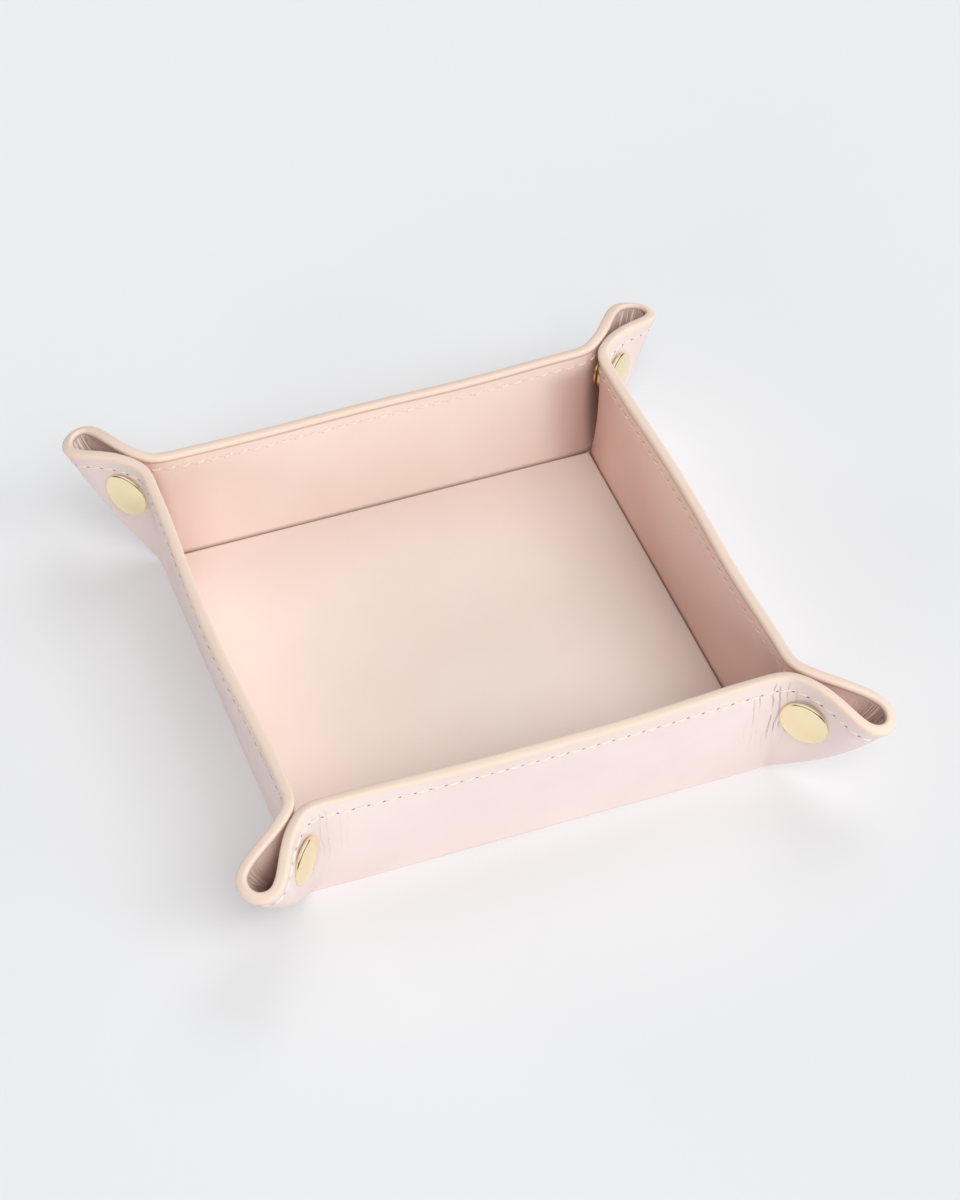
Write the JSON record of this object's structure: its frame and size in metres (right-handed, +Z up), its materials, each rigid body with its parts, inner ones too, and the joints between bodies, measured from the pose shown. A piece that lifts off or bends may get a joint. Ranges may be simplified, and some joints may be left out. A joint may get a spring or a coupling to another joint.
{
  "type": "valet tray",
  "caption": "Square leather catch-all tray: stiffened walls pinched up at the corners by brass snaps, which open so that the tray unfolds nearly flat.",
  "frame": {"origin": "on the table, under the middle of the floor", "axes": "+Z up, -Y towards the front wall, +X towards the right wall"},
  "size_m": [0.1616, 0.1616, 0.0336],
  "materials": {
    "leather_cover": "smooth fine-grain blush pink leather, satin, edge turned and painted pale tan",
    "leather_lining": "smooth fine-grain blush pink leather, satin",
    "brass": "polished pale gold plate",
    "board": "grey fibre board, hidden inside the leather",
    "thread": "cream polyester thread"
  },
  "bodies": {
    "base": {"base_cover": "leather_cover", "base_board": "board", "base_lining": "leather_lining"},
    "front_wall": {"front_wall_cover": "leather_cover", "front_wall_board": "board", "front_wall_lining": "leather_lining"},
    "front_right_ear": {"front_right_ear_cover": "leather_cover", "front_right_ear_lining": "leather_lining", "front_right_snap_cap": "brass", "front_right_snap_socket": "brass"},
    "front_right_tip": {"front_right_tip": "leather_cover"},
    "front_left_ear": {"front_left_ear_cover": "leather_cover", "front_left_ear_lining": "leather_lining", "left_front_snap_cap": "brass", "left_front_snap_socket": "brass"},
    "front_left_tip": {"front_left_tip": "leather_cover"},
    "right_wall": {"right_wall_cover": "leather_cover", "right_wall_board": "board", "right_wall_lining": "leather_lining"},
    "right_back_ear": {"right_back_ear_cover": "leather_cover", "right_back_ear_lining": "leather_lining", "right_back_snap_cap": "brass", "right_back_snap_socket": "brass"},
    "right_back_tip": {"right_back_tip": "leather_cover"},
    "right_front_ear": {"right_front_ear_cover": "leather_cover", "right_front_ear_lining": "leather_lining", "front_right_snap_stud": "brass", "front_right_snap_post": "brass"},
    "right_front_tip": {"right_front_tip": "leather_cover"},
    "back_wall": {"back_wall_cover": "leather_cover", "back_wall_board": "board", "back_wall_lining": "leather_lining"},
    "back_left_ear": {"back_left_ear_cover": "leather_cover", "back_left_ear_lining": "leather_lining", "back_left_snap_stud": "brass", "back_left_snap_post": "brass"},
    "back_left_tip": {"back_left_tip": "leather_cover"},
    "back_right_ear": {"back_right_ear_cover": "leather_cover", "back_right_ear_lining": "leather_lining", "right_back_snap_stud": "brass", "right_back_snap_post": "brass"},
    "back_right_tip": {"back_right_tip": "leather_cover"},
    "left_wall": {"left_wall_cover": "leather_cover", "left_wall_board": "board", "left_wall_lining": "leather_lining"},
    "left_front_ear": {"left_front_ear_cover": "leather_cover", "left_front_ear_lining": "leather_lining", "left_front_snap_stud": "brass", "left_front_snap_post": "brass"},
    "left_front_tip": {"left_front_tip": "leather_cover"},
    "left_back_ear": {"left_back_ear_cover": "leather_cover", "left_back_ear_lining": "leather_lining", "back_left_snap_cap": "brass", "back_left_snap_socket": "brass"},
    "left_back_tip": {"left_back_tip": "leather_cover"}
  },
  "joints": [
    {"name": "front_wall_fold", "type": "hinge", "parent": "base", "child": "front_wall", "pos_m": [0, -0.06032, 0], "axis": [1, 0, 0], "range_deg": [0, 74]},
    {"name": "front_right_ear_fold", "type": "hinge", "parent": "front_wall", "child": "front_right_ear", "pos_m": [0.05786, -0.05977, 0.0181], "axis": [0.1125, -0.1125, 0.9873], "range_deg": [0, 39]},
    {"name": "front_right_tip_fold", "type": "hinge", "parent": "front_right_ear", "child": "front_right_tip", "pos_m": [0.06858, -0.07428, 0.0203], "axis": [-0.4397, 0.5479, -0.7117], "range_deg": [0, 66]},
    {"name": "front_left_ear_fold", "type": "hinge", "parent": "front_wall", "child": "front_left_ear", "pos_m": [-0.05786, -0.05977, 0.0181], "axis": [0.1125, 0.1125, -0.9873], "range_deg": [0, 39]},
    {"name": "front_left_tip_fold", "type": "hinge", "parent": "front_left_ear", "child": "front_left_tip", "pos_m": [-0.06858, -0.07428, 0.0203], "axis": [-0.4397, -0.5479, 0.7117], "range_deg": [0, 66]},
    {"name": "right_wall_fold", "type": "hinge", "parent": "base", "child": "right_wall", "pos_m": [0.06032, 0, 0], "axis": [0, 1, 0], "range_deg": [0, 74]},
    {"name": "right_back_ear_fold", "type": "hinge", "parent": "right_wall", "child": "right_back_ear", "pos_m": [0.05977, 0.05786, 0.0181], "axis": [0.1125, 0.1125, 0.9873], "range_deg": [0, 39]},
    {"name": "right_back_tip_fold", "type": "hinge", "parent": "right_back_ear", "child": "right_back_tip", "pos_m": [0.07428, 0.06858, 0.0203], "axis": [-0.5479, -0.4397, -0.7117], "range_deg": [0, 66]},
    {"name": "right_front_ear_fold", "type": "hinge", "parent": "right_wall", "child": "right_front_ear", "pos_m": [0.05977, -0.05786, 0.0181], "axis": [-0.1125, 0.1125, -0.9873], "range_deg": [0, 39]},
    {"name": "right_front_tip_fold", "type": "hinge", "parent": "right_front_ear", "child": "right_front_tip", "pos_m": [0.07428, -0.06858, 0.0203], "axis": [0.5479, -0.4397, 0.7117], "range_deg": [0, 66]},
    {"name": "back_wall_fold", "type": "hinge", "parent": "base", "child": "back_wall", "pos_m": [0, 0.06032, 0], "axis": [-1, 0, 0], "range_deg": [0, 74]},
    {"name": "back_left_ear_fold", "type": "hinge", "parent": "back_wall", "child": "back_left_ear", "pos_m": [-0.05786, 0.05977, 0.0181], "axis": [-0.1125, 0.1125, 0.9873], "range_deg": [0, 39]},
    {"name": "back_left_tip_fold", "type": "hinge", "parent": "back_left_ear", "child": "back_left_tip", "pos_m": [-0.06858, 0.07428, 0.0203], "axis": [0.4397, -0.5479, -0.7117], "range_deg": [0, 66]},
    {"name": "back_right_ear_fold", "type": "hinge", "parent": "back_wall", "child": "back_right_ear", "pos_m": [0.05786, 0.05977, 0.0181], "axis": [-0.1125, -0.1125, -0.9873], "range_deg": [0, 39]},
    {"name": "back_right_tip_fold", "type": "hinge", "parent": "back_right_ear", "child": "back_right_tip", "pos_m": [0.06858, 0.07428, 0.0203], "axis": [0.4397, 0.5479, 0.7117], "range_deg": [0, 66]},
    {"name": "left_wall_fold", "type": "hinge", "parent": "base", "child": "left_wall", "pos_m": [-0.06032, 0, 0], "axis": [0, -1, 0], "range_deg": [0, 74]},
    {"name": "left_front_ear_fold", "type": "hinge", "parent": "left_wall", "child": "left_front_ear", "pos_m": [-0.05977, -0.05786, 0.0181], "axis": [-0.1125, -0.1125, 0.9873], "range_deg": [0, 39]},
    {"name": "left_front_tip_fold", "type": "hinge", "parent": "left_front_ear", "child": "left_front_tip", "pos_m": [-0.07428, -0.06858, 0.0203], "axis": [0.5479, 0.4397, -0.7117], "range_deg": [0, 66]},
    {"name": "left_back_ear_fold", "type": "hinge", "parent": "left_wall", "child": "left_back_ear", "pos_m": [-0.05977, 0.05786, 0.0181], "axis": [0.1125, -0.1125, -0.9873], "range_deg": [0, 39]},
    {"name": "left_back_tip_fold", "type": "hinge", "parent": "left_back_ear", "child": "left_back_tip", "pos_m": [-0.07428, 0.06858, 0.0203], "axis": [-0.5479, 0.4397, 0.7117], "range_deg": [0, 66]}
  ],
  "couplings": [
    {"joint": "front_right_ear_fold", "follows": "front_wall_fold", "ratio": 0.52703},
    {"joint": "front_right_tip_fold", "follows": "front_wall_fold", "ratio": 0.89189},
    {"joint": "front_left_ear_fold", "follows": "front_wall_fold", "ratio": 0.52703},
    {"joint": "front_left_tip_fold", "follows": "front_wall_fold", "ratio": 0.89189},
    {"joint": "right_wall_fold", "follows": "front_wall_fold", "ratio": 1},
    {"joint": "right_back_ear_fold", "follows": "front_wall_fold", "ratio": 0.52703},
    {"joint": "right_back_tip_fold", "follows": "front_wall_fold", "ratio": 0.89189},
    {"joint": "right_front_ear_fold", "follows": "front_wall_fold", "ratio": 0.52703},
    {"joint": "right_front_tip_fold", "follows": "front_wall_fold", "ratio": 0.89189},
    {"joint": "back_wall_fold", "follows": "front_wall_fold", "ratio": 1},
    {"joint": "back_left_ear_fold", "follows": "front_wall_fold", "ratio": 0.52703},
    {"joint": "back_left_tip_fold", "follows": "front_wall_fold", "ratio": 0.89189},
    {"joint": "back_right_ear_fold", "follows": "front_wall_fold", "ratio": 0.52703},
    {"joint": "back_right_tip_fold", "follows": "front_wall_fold", "ratio": 0.89189},
    {"joint": "left_wall_fold", "follows": "front_wall_fold", "ratio": 1},
    {"joint": "left_front_ear_fold", "follows": "front_wall_fold", "ratio": 0.52703},
    {"joint": "left_front_tip_fold", "follows": "front_wall_fold", "ratio": 0.89189},
    {"joint": "left_back_ear_fold", "follows": "front_wall_fold", "ratio": 0.52703},
    {"joint": "left_back_tip_fold", "follows": "front_wall_fold", "ratio": 0.89189}
  ]
}
